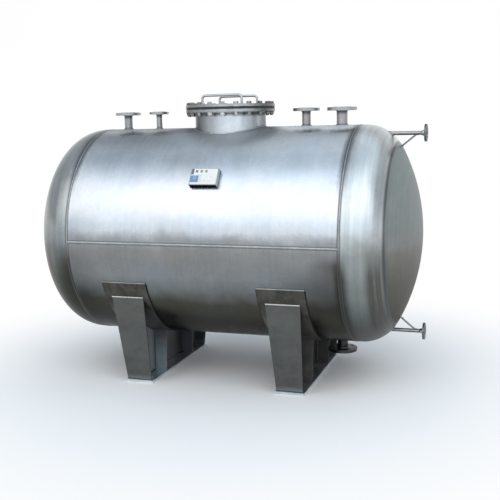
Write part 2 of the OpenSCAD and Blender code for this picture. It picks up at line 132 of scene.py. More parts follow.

# Colours of painted shade, painted shadow and painted light, of dark joints, heat tint and stains, and tints
# of the plate
# Painted shade low at the right end of the shell, and the dark of the streaks low on the knuckle
RIGHT_DUSK, KNUCKLE_DUSK = (0.03, 0.027, 0.02), (0.055, 0.051, 0.043)
# Painted shade beside the girth welds low down, at the right and the left
RIGHT_GRIME, LEFT_GRIME = (0.034, 0.031, 0.024), (0.042, 0.043, 0.031)
BEAD_SHADE, SEAM_SHADE, HEAT_TINT = (0.1, 0.1, 0.105), (0.1, 0.105, 0.11), (0.115, 0.11, 0.115)
# A painted shadow behind the nameplate, painted shade in the crease round the crown and beside the manway
# gasket
PLATE_SHADE, CREASE_SHADE, JOINT_SHADE = (0.06, 0.065, 0.07), (0.055, 0.068, 0.075), (0.03, 0.035, 0.04)
# Painted shade beside the seams high on the heads, a painted shadow under the manway flange, then stains and
# rust
HAZE, NECK_SOOT, BROWN, RUST = (0.1, 0.11, 0.12), (0.1, 0.11, 0.11), (0.18, 0.15, 0.12), (0.16, 0.13, 0.11)
# Painted light on the front of the left web, painted shade on the left saddle's rear inner rib and all
# through the right saddle
SIDE_SCALE, REAR_SHADE, DARK_SCALE = (0.34, 0.36, 0.39), (0.085, 0.088, 0.095), (0.085, 0.084, 0.078)
# Painted highlight along the top ridge on the right
RIDGE_LIFT = (1.4, 1.38, 1.36)
TINTS = ((1.012, 1, 0.985), (0.978, 1, 1.025))
CROWN_ROUGHER, CROWN_METALLIC, MATT_METALLIC = 0.22, 0.35, 0.1

# Fields printed on the nameplate: left, right, bottom, top as shares of the sheet, then ink share and colour
BLUE_INK, PALE_INK = (0.095, 0.195, 0.35), (0.22, 0.36, 0.56)
GREY_INK, LABEL_INK = (0.07, 0.08, 0.09), (0.08, 0.09, 0.14)
PLATE_FIELDS = (
    ((-0.05, 0.095, 0.62, 1.05), 0.92, LABEL_INK), ((-0.05, 0.3, 0.11, 0.56), 0.92, BLUE_INK),
    ((0.09, 0.2, 0.3, 0.5), 0.8, PALE_INK), ((0.3, 0.4, 0.11, 0.62), 0.3, PALE_INK),
    ((0.15, 0.245, 0.75, 0.92), 0.85, GREY_INK), ((0.335, 0.42, 0.75, 0.92), 0.8, GREY_INK),
    ((0.515, 0.6, 0.75, 0.92), 0.75, GREY_INK), ((0.38, 0.46, 0.18, 0.23), 0.35, GREY_INK),
    ((0.5, 0.58, 0.18, 0.23), 0.35, GREY_INK), ((0.66, 0.76, 0.18, 0.23), 0.35, GREY_INK),
    ((0.7, 0.82, 0.44, 0.48), 0.25, GREY_INK))
BLUR_ACROSS, BLUR_UP = 0.012, 0.018

# Camera, solved from the photograph's outline
CAMERA_AT = Vector((1.6346, -4.5895, 1.4684))
CAMERA_YAW, CAMERA_PITCH, CAMERA_ROLL = 18.63, 8.763, 1.271
CAMERA_LENS, CAMERA_SENSOR, CAMERA_FAR = 59.71, 36, 200

# Studio floor, and the sky's brightness by height in degrees, with a tint from neutral to blue
HORIZON = (1, 1, 1)
FLOOR_ALBEDO, FLOOR_RADIUS, FLOOR_DROP, FLOOR_FADE = 0.92, 60, 0.0005, (1, 2.5)
SKY_PEAK = 2
SKY_AHEAD = ((0, 1.1, 0.4), (9, 1.25, 0.9), (20, 1.75, 0.5), (30, 1.95, 0.1), (52, 1.9, 0.4),
             (62, 1.6, 1.2), (75, 1, 1.3), (90, 0.55, 1.2))
SKY_BESIDE = ((0, 1, 0), (3.5, 1, 0), (9, 0.54, 0.6), (45, 0.5, 0.9), (60, 0.52, 1.3), (90, 0.52, 1.2))
SKY_BEHIND = ((0, 1, 0), (9, 1, 0), (25, 0.66, 0.2), (42, 0.35, 0.8), (56, 0.41, 1.2), (90, 0.51, 1.2))
RIGHT_HIGH_LIFT, FAR_RIGHT_LIFT = 0.75, 0.4

# Bearings in degrees between which the sky ahead fades in on the left, low and high, and out on the right
FRONT_LEFT, FRONT_LEFT_HIGH, FRONT_RIGHT, BACK_SIDES = (
    tuple(map(math.radians, pair)) for pair in ((-62, -38), (-98, -38), (60, 84), (112, 150)))


def as_colour(shade):
    """A colour as it is, or one number as a grey."""
    return shade if isinstance(shade, tuple) else (shade, shade, shade)


def arithmetic(operation, swapped=False):
    """A method of Value that adds one math node."""
    def method(self, other):
        return self.graph.math(operation, *((other, self) if swapped else (self, other)))
    return method


class Value:
    """A value in a node tree. Arithmetic on it adds math nodes to the tree."""

    def __init__(self, graph, socket):
        self.graph = graph
        self.socket = socket

    __add__, __radd__ = arithmetic("ADD"), arithmetic("ADD", True)
    __sub__, __rsub__ = arithmetic("SUBTRACT"), arithmetic("SUBTRACT", True)
    __mul__, __truediv__ = arithmetic("MULTIPLY"), arithmetic("DIVIDE")

    def __abs__(self):
        return self.graph.math("ABSOLUTE", self)

    def wander(self, amount):
        """A noise as a shift to both sides."""
        return (self - 0.5) * amount

    def ramp(self, low, high, to_low=0, to_high=1):
        """A smooth step of the value from low to high."""
        inputs = {"Value": self, "From Min": low, "From Max": high, "To Min": to_low, "To Max": to_high}
        node = self.graph.add("ShaderNodeMapRange", inputs, interpolation_type="SMOOTHSTEP")
        return Value(self.graph, node.outputs["Result"])

    def fade(self, low, high, share=1):
        """A smooth fall from a share at low to nothing at high."""
        return self.ramp(low, high, share, 0)

    def stops(self, stops):
        """A colour ramp through (place, shade) stops."""
        node = self.graph.add("ShaderNodeValToRGB", {"Fac": self})
        elements = node.color_ramp.elements
        while len(elements) < len(stops):
            elements.new(0.5)
        for element, (place, shade) in zip(elements, stops):
            element.position = place
            element.color = (*as_colour(shade), 1)
        return node.outputs["Color"]

    def film(self, film):
        """A colour of painted shading at a level, which is 0 at the vessel's bottom and 1 at its top."""
        return self.stops([(0.5 + 0.5 * height, shade) for height, shade in film])

    def grey(self):
        return self.graph.add("ShaderNodeCombineColor", {0: self, 1: self, 2: self})

    def mix(self, first, second):
        """Mixes two colours, with the value as the share of the second."""
        return self.graph.mix(self, first, second)


class Graph:
    """A node tree that is being built."""

    def __init__(self, tree):
        self.tree = tree
        tree.nodes.clear()

    def feed(self, socket, value):
        """Links a socket, or sets a value."""
        if isinstance(value, Value):
            value = value.socket
        elif isinstance(value, bpy.types.Node):
            value = value.outputs[0]
        if isinstance(value, bpy.types.NodeSocket):
            self.tree.links.new(value, socket)
        elif hasattr(socket.default_value, "__len__") and len(socket.default_value) == 4 and len(value) == 3:
            socket.default_value = (*value, 1)
        else:
            socket.default_value = value

    def add(self, kind, inputs=None, **settings):
        """Adds one node; inputs go by name or number."""
        node = self.tree.nodes.new(kind)
        for name, value in settings.items():
            setattr(node, name, value)
        for key, value in (inputs or {}).items():
            self.feed(node.inputs[key], value)
        return node

    def math(self, operation, first, second=0, clamp=False):
        node = self.add("ShaderNodeMath", {0: first, 1: second}, operation=operation, use_clamp=clamp)
        return Value(self, node.outputs[0])

    def vector(self, operation, first, second=None):
        """Maths on vectors; a length or a dot product is a value."""
        inputs = {0: first} if second is None else {0: first, 1: second}
        outputs = self.add("ShaderNodeVectorMath", inputs, operation=operation).outputs
        return Value(self, outputs["Value"]) if operation in ("LENGTH", "DOT_PRODUCT") else outputs["Vector"]

    def scaled(self, vector, scale):
        return self.vector("MULTIPLY", vector, scale)

    def parts(self, vector):
        return [Value(self, part) for part in self.add("ShaderNodeSeparateXYZ", {0: vector}).outputs]

    def here(self):
        """Object coordinates."""
        return self.add("ShaderNodeTexCoord").outputs["Object"]

    def mix(self, share, first, second, blend="MIX"):
        inputs = {0: share, 6: first, 7: second}
        return self.add("ShaderNodeMix", inputs, data_type="RGBA", blend_type=blend).outputs[2]

    def tint(self, base, colour):
        """A colour times another."""
        return self.mix(1, base, colour, "MULTIPLY")

    def noise(self, vector, scale, detail=3, roughness=0.5, distortion=0):
        inputs = {"Vector": vector, "Scale": scale, "Detail": detail, "Roughness": roughness}
        inputs["Distortion"] = distortion
        return Value(self, self.add("ShaderNodeTexNoise", inputs).outputs["Fac"])

    def bump(self, height, distance, normal=None):
        """A bump of height times distance metres."""
        inputs = {"Height": height, "Distance": distance, "Strength": 1}
        if normal is not None:
            inputs["Normal"] = normal
        return self.add("ShaderNodeBump", inputs).outputs["Normal"]


class Finish(Graph):
    """A new material's tree."""

    def __init__(self, name):
        self.material = bpy.data.materials.new(name)
        self.material.use_nodes = True
        super().__init__(self.material.node_tree)

    def done(self, base, rough, normal, metallic=1):
        """Ends the tree in one principled shader and gives the material."""
        inputs = {"Base Color": base, "Metallic": metallic, "Roughness": rough, "Normal": normal}
        shader = self.add("ShaderNodeBsdfPrincipled", inputs)
        self.add("ShaderNodeOutputMaterial", {"Surface": shader})
        return self.material


def middle_of(name):
    low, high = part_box(name)
    return (low + high) / 2


def hypot(first, second):
    return first.graph.math("SQRT", first * first + second * second)


def bearing_film(x, y, film):
    """A colour of painted shading by bearing round an upright axis."""
    around = x.graph.math("ARCTAN2", x, y * -1) / (2 * math.pi) + 0.5
    return around.stops([(0.5 + angle / 360, shade) for angle, shade in film])


def vessel_place(graph):
    """Object coordinates from the middle of the vessel's axis."""
    return graph.vector("SUBTRACT", graph.here(), (MIDDLE_X, 0, AXIS_Z))


def vessel_fields(graph):
    """The places and noises that the vessel's finish is drawn from."""
    centred = vessel_place(graph)
    x, y, z = graph.parts(centred)
    at = SimpleNamespace(centred=centred, x=x, y=y, z=z)
    at.length, at.radius, at.height = abs(x), hypot(y, z), z / SHELL_R
    at.along = at.length - at.radius
    at.left = x.fade(-0.1, 0.1)
    around = graph.add("ShaderNodeCombineXYZ", {0: at.along, 1: y, 2: z})
    at.grain = graph.noise(graph.scaled(around, (420, 5, 5)), 1, 4, 0.6)
    at.streaks = graph.noise(graph.scaled(around, (38, 1.3, 1.3)), 1, 5, 0.65)
    at.clouds = graph.noise(centred, 4.5, 5, 0.6, 0.4)
    at.patches = graph.noise(centred, 17, 4, 0.6, 0.8)
    at.edge = at.height + at.clouds.wander(0.16)
    at.level = at.edge * 0.5 + 0.5
    return at


def head_marks(graph, at, base, rough, shade):
    """Painted shade by the seam high up, dark streaks low on the knuckle, and painted shade on the crown and
    its crease.
    """
    # Painted shade beside the seam, high on the head
    haze = at.along.fade(0.19, 0.235, 0.16) * at.height.ramp(0, 0.3)
    base = haze.mix(base, HAZE)
    worn = at.along.ramp(0.285, 0.335) * at.height.fade(-0.28, 0.1) * at.streaks.ramp(0.3, 0.62, 0.28, 0.8)
    base = worn.mix(base, KNUCKLE_DUSK)
    # The crown gets painted shade in place of the head's colour, and painted shade in its crease
    crown = at.radius.fade(CROWN_EDGE * 0.975, CROWN_EDGE * 0.995)
    base = crown.mix(base, graph.tint(at.level.film(CROWN_FILM), shade.grey()))
    crease = abs(at.radius - CROWN_EDGE * 1.005)
    base = crease.fade(0.004, 0.018, 0.82).mix(base, CREASE_SHADE)
    return base, rough + crown * CROWN_ROUGHER, 1 - crown * (1 - CROWN_METALLIC)


def root_marks(graph, at, base, rough, shade):
    """A rougher zone and dark joint round each upright pipe, and a matt zone round the small top nozzles."""
    matt = 0
    for centre_x, root, side in ROOTS:
        away = hypot(at.x - centre_x, at.y) - root
        away += at.z.ramp(-0.1, 0.1, side + 1, 1 - side)
        reach, joint = NECK_ZONE if root > LEAST_NECK_R else NOZZLE_ZONE
        rough += away.fade(0, reach) * ROOT_ROUGHER
        if root < LEAST_NECK_R and side > 0:
            matt = graph.math("MAXIMUM", matt, away.fade(0.1, 0.18))
        base = away.fade(0.004, 0.015, joint).mix(base, BEAD_SHADE)
    # The matt zone's colour, darker at the left end as painted shade
    bare = graph.tint(at.left.mix(MATT_RIGHT, MATT_LEFT), shade.grey())
    return matt.mix(base, bare), rough, 1 - matt * (1 - MATT_METALLIC)


def shell_shadows(graph, at, base):
    """Painted shade low at the right end, darker in the corner by the seam, and a painted shadow behind the
    nameplate.
    """
    low_right = at.x.ramp(HALF_SHELL - 0.42, HALF_SHELL - 0.06, 0, 0.56) * at.height.fade(-0.36, -0.12)
    corner = at.x.ramp(HALF_SHELL - 0.18, HALF_SHELL - 0.02, 0, 0.6) * at.height.fade(-0.16, -0.04)
    # Painted shade low at the right end, and in its corner by the seam
    base = (low_right * at.height.ramp(-0.72, -0.54)).mix(base, RIGHT_DUSK)
    base = (corner * at.height.ramp(-0.36, -0.12, 0.35, 1)).mix(base, RIGHT_DUSK)
    aside = abs(at.x - (middle_of("nameplate").x - MIDDLE_X))
    out, up = (graph.vector("DOT_PRODUCT", at.centred, tuple(way)) for way in (PLATE_OUT, PLATE_UP))
    behind = aside.fade(PLATE_LONG / 2, PLATE_LONG / 2 + 0.008) * abs(up).fade(0.046, 0.056)
    return (behind * out.ramp(0.3, 0.5) * 0.85).mix(base, PLATE_SHADE)


def seam_marks(at, base, reach, low):
    """Painted shade beside the girth welds low down, heat tint high up, and a dark line beside every bead."""
    girth = abs(at.length - HALF_SHELL)
    ragged = girth + at.patches.wander(0.012)
    # Painted shade beside the girth welds low down
    grime = ragged.fade(0.008, reach, 0.88) * low
    base = grime.mix(base, at.left.mix(RIGHT_GRIME, LEFT_GRIME))
    burnt = ragged.fade(0.01, 0.036, 0.72) * at.height.ramp(0.34, 0.7)
    base = burnt.mix(base, HEAT_TINT)
    base = girth.fade(0.0065, 0.0115, 0.8).mix(base, BEAD_SHADE)
    seam = abs(at.z) + at.y.ramp(-0.2, 0.1) + at.length.ramp(HALF_SHELL - 0.01, HALF_SHELL)
    return seam.fade(0.0065, 0.012, 0.75).mix(base, SEAM_SHADE)


def vessel_steel(name, colour, roughness, film, grain_depth, streak, is_head):
    """Mill finish plate of the shell and heads. Grain runs round the vessel; clouds, tints and streaks vary
    it; painted shading darkens it low down and at the left end and lightens it high up; and a painted
    highlight brightens the ridge along the top on the right."""
    graph = Finish(name)
    at = vessel_fields(graph)
    shade = at.clouds.ramp(0.25, 0.75, 0.92, 1.05) + at.patches.ramp(0.3, 0.7, -0.03, 0.03)
    shade *= at.streaks.ramp(0.25, 0.75, 1 - streak, 1 + streak)
    tints = graph.noise(at.centred, 3.2, 2, 0.5, 0.5)
    base = graph.tint(colour, shade.grey())
    base = graph.tint(base, tints.ramp(0.35, 0.65).mix(*TINTS))
    # Painted shading by height: painted shade low down, painted highlight higher up
    base = graph.tint(base, at.level.film(film))
    # Painted highlight along the top ridge on the right
    ridge = at.x.ramp(0.1, 0.5) * at.height.ramp(0.74, 0.93)
    base = ridge.mix(base, graph.tint(base, RIDGE_LIFT))
    rough = at.clouds.ramp(0.3, 0.7, roughness - 0.02, roughness + 0.03)
    rough = rough + at.streaks.ramp(0.3, 0.7, -0.02, 0.02) + at.edge.fade(-0.6, 0.1, 0.06)
    # Painted shade over the left end of the vessel
    dusk = graph.tint(base, at.level.film(LEFT_HEAD_FILM if is_head else LEFT_FILM))
    base = (at.left * at.length.ramp(0.46, 0.76)).mix(base, dusk)
    low = at.height.fade(-0.26, 0.02)
    if is_head:
        base, rough, metallic = head_marks(graph, at, base, rough, shade)
        base = seam_marks(at, base, at.x.ramp(-0.1, 0.1, 0.12, 0.055), low)
    else:
        base, rough, metallic = root_marks(graph, at, base, rough, shade)
        base = shell_shadows(graph, at, base)
        base = seam_marks(at, base, 0.045, low * at.x.ramp(0.2, 0.6))
    waves = graph.noise(at.centred, 2.4, 1, 0.4)
    return graph.done(base, rough, graph.bump(at.grain, grain_depth, graph.bump(waves, 0.004)), metallic)


def plate_steel(name, colour, roughness, grain, contrast=0.12, metallic=1, depth=0.0002, bands=(),
                stain=BROWN):
    """Plate, pipe, rod and weld steel with grain stretched by a scale on each axis, clouds and small stains.
    Each band is (axis, place, inner, outer, share, colour): painted shade, painted light, or a pipe's darker
    root, whole up to the inner distance from a place and gone past the outer one."""
    graph = Finish(name)
    centred = vessel_place(graph)
    lines = graph.noise(graph.scaled(centred, grain), 1, 4, 0.6)
    clouds = graph.noise(centred, 11, 5, 0.62, 0.6)
    spots = graph.noise(centred, 60, 3, 0.6, 0.5)
    shade = clouds.ramp(0.25, 0.75, 1 - contrast, 1 + contrast)
    shade += lines.ramp(0.3, 0.7, -0.4 * contrast, 0.4 * contrast)
    base = graph.tint(colour, shade.grey())
    base = spots.ramp(0.62, 0.78, 0, 0.45).mix(base, stain)
    parts = dict(zip("XYZ", graph.parts(graph.here())))
    for axis, place, inner, outer, share, shown in bands:
        apart = abs(parts[axis] - place) + clouds.wander(0.5 * (outer - inner))
        base = apart.fade(inner, outer, share).mix(base, shown)
    rough = clouds.ramp(0.3, 0.7, roughness - 0.05, roughness + 0.06) + lines.ramp(0.3, 0.7, -0.04, 0.04)
    return graph.done(base, rough, graph.bump(lines + spots * 0.5, depth), metallic)


def weld_steel(name, colour, roughness, contrast, bands=()):
    """Weld metal: the same grain on each axis, and a coarse bump."""
    return plate_steel(name, colour, roughness, (90, 90, 90), contrast, depth=0.0004, bands=bands)


def rolled_neck(name, colour, film):
    """The manway neck: rolled plate with grain round it, a painted shadow under the flange, and painted shade
    by bearing.
    """
    graph = Finish(name)
    centred = vessel_place(graph)
    x, y, z = graph.parts(centred)
    lines = graph.noise(graph.scaled(centred, (60, 60, 300)), 1, 4, 0.6)
    clouds = graph.noise(centred, 14, 5, 0.62, 0.6)
    streaks = graph.noise(graph.scaled(centred, (45, 45, 3)), 1, 4, 0.6)
    spots = graph.noise(centred, 70, 3, 0.6, 0.5)
    shade = clouds.ramp(0.25, 0.75, 0.86, 1.08) + lines.ramp(0.3, 0.7, -0.03, 0.03)
    shade *= streaks.ramp(0.3, 0.7, 0.97, 1.02)
    base = graph.tint(graph.tint(colour, shade.grey()), bearing_film(x, y, film))
    base = spots.ramp(0.64, 0.8, 0, 0.35).mix(base, BROWN)
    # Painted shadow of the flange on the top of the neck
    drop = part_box("manway_flange")[0].z - AXIS_Z - z + clouds.wander(0.012)
    base = drop.fade(0.009, 0.03, 0.85).mix(base, NECK_SOOT)
    rough = clouds.ramp(0.3, 0.7, 0.29, 0.38) + lines.ramp(0.3, 0.7, -0.03, 0.03)
    return graph.done(base, rough, graph.bump(lines + spots * 0.4, 0.00015))


def rubber(name):
    """Black sheet rubber with dust on it."""
    graph = Finish(name)
    place = vessel_place(graph)
    fine = graph.noise(place, 300, 3, 0.6)
    dust = graph.noise(place, 24, 4, 0.6)
    base = dust.ramp(0.35, 0.75, 0, 0.5).mix((0.012, 0.014, 0.018), (0.034, 0.035, 0.036))
    return graph.done(base, dust.ramp(0.3, 0.7, 0.55, 0.72), graph.bump(fine, 0.0002), 0)


def turned_steel(name, colour, roughness, centre, axis, film=()):
    """Flange steel with fine turned rings round its own axis, which runs along x, y or z. The manway's rims
    also have painted shade by bearing and painted shade beside the gasket."""
    graph = Finish(name)
    centred = graph.vector("SUBTRACT", graph.here(), tuple(centre))
    flat = graph.scaled(centred, tuple(0 if axis == letter else 1 for letter in "xyz"))
    depth = graph.scaled(centred, tuple(1 if axis == letter else 0 for letter in "xyz"))
    rings = graph.add("ShaderNodeCombineXYZ", {0: graph.vector("LENGTH", flat)})
    turned = graph.noise(graph.vector("ADD", rings, depth), 900, 2, 0.5)
    clouds = graph.noise(centred, 30, 4, 0.6, 0.5)
    spots = graph.noise(centred, 120, 3, 0.6)
    shade = clouds.ramp(0.25, 0.75, 0.88, 1.08) + turned.ramp(0.3, 0.7, -0.05, 0.05)
    base = graph.tint(colour, shade.grey())
    base = spots.ramp(0.64, 0.8, 0, 0.4).mix(base, RUST)
    if film:
        x, y, z = graph.parts(centred)
        base = graph.tint(base, bearing_film(x, y, film))
        # Painted shade beside the gasket
        joint = abs(z - (middle_of("manway_gasket").z - centre.z)) + clouds.wander(0.004)
        base = joint.fade(0.006, 0.008, 0.85).mix(base, JOINT_SHADE)
    rough = clouds.ramp(0.3, 0.7, roughness - 0.04, roughness + 0.06)
    return graph.done(base, rough, graph.bump(turned, 0.00012))


# Finishes of the vessel, the welds and the fittings
COVER_LOW, COVER_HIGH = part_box("manway_cover")
SHELL_STEEL = vessel_steel("shell_mill_finish", (0.56, 0.585, 0.615), 0.25, SHELL_FILM, 0.00005, 0.032, False)
HEAD_STEEL = vessel_steel("head_mill_finish", (0.53, 0.56, 0.57), 0.29, HEAD_FILM, 0.00008, 0.11, True)
SEAM_WELD = weld_steel("long_seam_bead", (0.38, 0.42, 0.43), 0.32, 0.16)
# Girth beads: painted shade darkens them towards the bottom
GIRTH_WELD = weld_steel("girth_bead", (0.3, 0.32, 0.33), 0.34, 0.2, (
    ("Z", AXIS_Z - SHELL_R, 0.8 * SHELL_R, 1.1 * SHELL_R, 0.92, (0.045, 0.042, 0.034)),))
# A light fillet along the rib tops as a painted highlight
BRIGHT_WELD = weld_steel("brushed_fillet", (0.56, 0.56, 0.55), 0.32, 0.15)
WEAR_WELD = weld_steel("wear_plate_fillet", (0.3, 0.3, 0.285), 0.38, 0.3)
DULL_WELD = weld_steel("pickled_fillet", (0.1, 0.1, 0.1), 0.45, 0.3)
ROOT_WELD = weld_steel("nozzle_fillet", (0.26, 0.26, 0.27), 0.36, 0.25)
NECK_WELD = weld_steel("neck_fillet", (0.42, 0.45, 0.46), 0.36, 0.25)
# The wear plate's end fillets near black, as painted shade
END_WELD = weld_steel("wear_plate_end_fillet", (0.035, 0.035, 0.034), 0.5, 0.3)
ROD_STEEL = plate_steel("bright_rod", (0.46, 0.48, 0.49), 0.32, (60, 200, 200))
LEFT_INNER = plate_steel("left_inner_plate", (0.135, 0.14, 0.155), 0.48, (12, 30, 30), 0.14, 0.45, bands=(
    # Painted light low near the base, painted shade up under the shell and on the rear inner rib
    ("Z", 0.014, 0.06, 0.22, 0.9, (0.26, 0.33, 0.36)), ("Z", 0.3, 0.04, 0.11, 0.7, (0.09, 0.09, 0.1)),
    ("Y", 0.4, 0.3, 0.42, 0.92, REAR_SHADE)))
# The right saddle's inner ribs and web painted dark, as painted shade
RIGHT_INNER = plate_steel("right_inner_plate", DARK_SCALE, 0.55, (12, 30, 30), 0.2, 0.6)
LEFT_WEB = plate_steel("left_web_plate", (0.088, 0.09, 0.097), 0.5, (30, 12, 12), 0.16, 0.6, bands=(
    # Painted light at the front edge of the web, and lighter at its rear edge
    ("Y", -0.45, 0.2, 0.27, 0.9, SIDE_SCALE), ("Y", 0.45, 0.2, 0.27, 0.9, (0.16, 0.17, 0.18))))
WEAR_STEEL = plate_steel("wear_plate", (0.085, 0.082, 0.072), 0.46, (40, 25, 25), 0.38, bands=(
    # Painted light on the lower part of the wear plate
    ("Z", 0.25, 0.14, 0.22, 0.85, (0.2, 0.19, 0.175)),), stain=(0.03, 0.026, 0.02))
BOLT_STEEL = plate_steel("bolt_steel", (0.6, 0.62, 0.61), 0.34, (80, 80, 80), 0.3, depth=0.0001, bands=(
    # Painted shade: bolt heads darker than the nuts, and the bolts towards both sides of the cover darker
    ("Z", COVER_HIGH.z + 0.008, 0.01, 0.014, 0.35, (0.25, 0.27, 0.265)),
    ("X", COVER_LOW.x, 0.05, 0.11, 0.8, (0.07, 0.085, 0.08)),
    ("X", COVER_LOW.x, 0.13, 0.25, 0.55, (0.1, 0.11, 0.11)),
    ("X", COVER_HIGH.x, 0.06, 0.12, 0.8, (0.07, 0.09, 0.08))))

FINISHES = {
    "shell": SHELL_STEEL,
    "left_head right_head": HEAD_STEEL,
    "left_girth_weld right_girth_weld": GIRTH_WELD,
    "long_seam_weld": SEAM_WELD,
    "manway_neck": rolled_neck("rolled_neck", (0.64, 0.69, 0.74), NECK_FILM),
    "manway_gasket": rubber("black_rubber"),
    "front_cover_handle rear_cover_handle": ROD_STEEL,
    "upper_gauge_brace lower_gauge_brace": plate_steel(
        "brace_rod", (0.22, 0.225, 0.225), 0.4, (200, 200, 60)),
    "nameplate_bracket": plate_steel("folded_sheet", (0.36, 0.38, 0.39), 0.4, (300, 12, 12)),
    "left_saddle_outer_ribs right_saddle_outer_ribs": plate_steel(
        "saddle_outer_plate", (0.124, 0.127, 0.12), 0.48, (8, 30, 30), 0.15,
        # Painted highlight on the ribs' feet by the base plate
        bands=(("Z", 0.01, 0.006, 0.042, 0.7, (0.27, 0.31, 0.34)),)),
    "left_saddle_inner_ribs": LEFT_INNER,
    "right_saddle_inner_ribs": RIGHT_INNER,
    "left_saddle_wear_plate right_saddle_wear_plate": WEAR_STEEL,
    "left_saddle_web": LEFT_WEB,
    "right_saddle_web": plate_steel("right_web_plate", DARK_SCALE, 0.55, (30, 12, 12), 0.2),
    "left_saddle_base right_saddle_base": plate_steel(
        "saddle_base_plate", (0.7, 0.74, 0.77), 0.34, (30, 8, 30), 0.12),
}


def flange_finish(name):
    """Turned steel about the flange's own axis; the drain's is near black."""
    colour, roughness, film = (0.39, 0.405, 0.4), 0.34, ()
    if "drain" in name:
        colour = (0.06, 0.06, 0.065)
    elif "manway" in name:
        colour, roughness, film = (0.42, 0.44, 0.445), 0.27, RIM_FILM
    elif "gauge" in name:
        colour = (0.15, 0.155, 0.155)
    axis = "x" if "gauge" in name else "z"
    return turned_steel(name + "_steel", colour, roughness, middle_of(name), axis, film)


def pipe_finish(name):
    """Drawn pipe, darker at its root, with a painted shadow under its flange; the gauge pipes have painted
    shade underneath.
    """
    stem = name[:-len("_pipe")]
    colour, soot = (0.36, 0.36, 0.36), (0.07, 0.07, 0.07)
    if "drain" in name:
        colour, soot = (0.05, 0.05, 0.055), (0.03, 0.03, 0.03)
    if "gauge" in name:
        # Painted shade along the gauge pipe's underside
        bands = (("Z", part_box(name)[0].z, 0.004, 0.012, 0.9, soot),)
        grain = (400, 40, 40)
    else:
        # A painted shadow under the flange, and darker at the root
        bands = (("Z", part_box(stem + "_flange")[0].z, 0.008, 0.026, 0.85, soot),
                 ("Z", AXIS_Z + SHELL_R, 0.004, 0.014, 0.5, soot))
        grain = (40, 40, 400)
    return plate_steel(stem + "_steel", colour, 0.36, grain, bands=bands)


for names, material in FINISHES.items():
    for name in names.split():
        nodes[name].material_slots[0].material = material
for name in nodes:
    if name.endswith("_flange") or name == "manway_cover":
        nodes[name].material_slots[0].material = flange_finish(name)
    elif name.endswith("_pipe"):
        nodes[name].material_slots[0].material = pipe_finish(name)


class Growth(Graph):
    """A Geometry Nodes tree with named inputs. It ends in Realize Instances and Set Material."""

    def __init__(self, name, inputs):
        super().__init__(bpy.data.node_groups.new(name, "GeometryNodeTree"))
        for label, kind, value in (("Geometry", "Geometry", None), *inputs, ("Material", "Material", None)):
            socket = self.tree.interface.new_socket(label, in_out="INPUT", socket_type="NodeSocket" + kind)
            if value is not None:
                socket.default_value = value
        self.tree.interface.new_socket("Geometry", in_out="OUTPUT", socket_type="NodeSocketGeometry")
        self.given = self.add("NodeGroupInput").outputs

    def close(self, geometry):
        """Ends the tree."""
        real = self.add("GeometryNodeRealizeInstances", {"Geometry": geometry})
        finished = self.add("GeometryNodeSetMaterial", {"Geometry": real, "Material": self.given["Material"]})
        self.add("NodeGroupOutput", {"Geometry": finished})
        return self

    def grow(self, name, seed_mesh, slot, **values):
        """Runs the tree on a seed mesh and leaves a plain mesh piece that rides on the tank."""
        seed = bpy.data.objects.new(name + "_seed", seed_mesh)
        bpy.context.scene.collection.objects.link(seed)
        modifier = seed.modifiers.new("grow", "NODES")
        modifier.node_group = self.tree
        for item in self.tree.interface.items_tree:
            key = item.name.lower().replace(" ", "_")
            if item.in_out == "INPUT" and key in values:
                modifier[item.identifier] = values[key]
        depsgraph = bpy.context.evaluated_depsgraph_get()
        mesh = bpy.data.meshes.new_from_object(seed.evaluated_get(depsgraph))
        seed.modifiers.remove(modifier)
        bpy.data.objects.remove(seed)
        return place_piece(name, mesh, slot)


def place_piece(name, mesh, slot):
    """A mesh as a piece of the tank, with its place in its mesh."""
    mesh.name = name
    piece = bpy.data.objects.new(name, mesh)
    bpy.context.scene.collection.objects.link(piece)
    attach(piece, "root")
    return piece


def as_mesh(shape, name, material=None):
    """A mesh from a bmesh shape, which is freed."""
    mesh = bpy.data.meshes.new(name)
    shape.to_mesh(mesh)
    shape.free()
    if material:
        mesh.materials.append(material)
    return mesh


def weld_growth():
    """Beads along the seed's lines: a round section with ripples, flattened where it lies on the shell."""
    growth = Growth("weld_bead", (
        ("Bead radius", "Float", 0.004), ("Ripple pitch", "Float", 0.005), ("Ripple depth", "Float", 0.18),
        ("Flatness", "Float", 1), ("Lies on shell", "Bool", False)))
    given = growth.given
    lines = growth.add("GeometryNodeMeshToCurve", {"Mesh": given["Geometry"]})
    step = growth.math("DIVIDE", given["Ripple pitch"], 4)
    lines = growth.add("GeometryNodeResampleCurve", {"Curve": lines, "Length": step}, mode="LENGTH")
    place = growth.add("GeometryNodeInputPosition")
    outward = growth.scaled(growth.vector("SUBTRACT", place, (0, 0, AXIS_Z)), (0, 1, 1))
    turned = growth.add("GeometryNodeSetCurveNormal", {"Curve": lines, "Normal": outward}, mode="FREE")
    lines = growth.add("GeometryNodeSwitch", {
        "Switch": given["Lies on shell"], "False": lines, "True": turned}, input_type="GEOMETRY")
    reach = Value(growth, growth.add("GeometryNodeSplineParameter").outputs["Length"])
    phase = growth.math("FRACT", reach / given["Ripple pitch"])
    uneven = 0.86 + growth.noise(place, 30, 2) * 0.28
    scale = (1 - phase * given["Ripple depth"]) * uneven
    section = growth.add("GeometryNodeCurvePrimitiveCircle", {
        "Resolution": 8, "Radius": given["Bead radius"]})
    squash = growth.add("ShaderNodeCombineXYZ", {0: given["Flatness"], 1: 1, 2: 1})
    section = growth.add("GeometryNodeTransform", {"Geometry": section, "Scale": squash})
    beads = growth.add("GeometryNodeCurveToMesh", {
        "Curve": lines, "Profile Curve": section, "Scale": scale, "Fill Caps": True})
    return growth.close(growth.add("GeometryNodeSetShadeSmooth", {"Geometry": beads}))


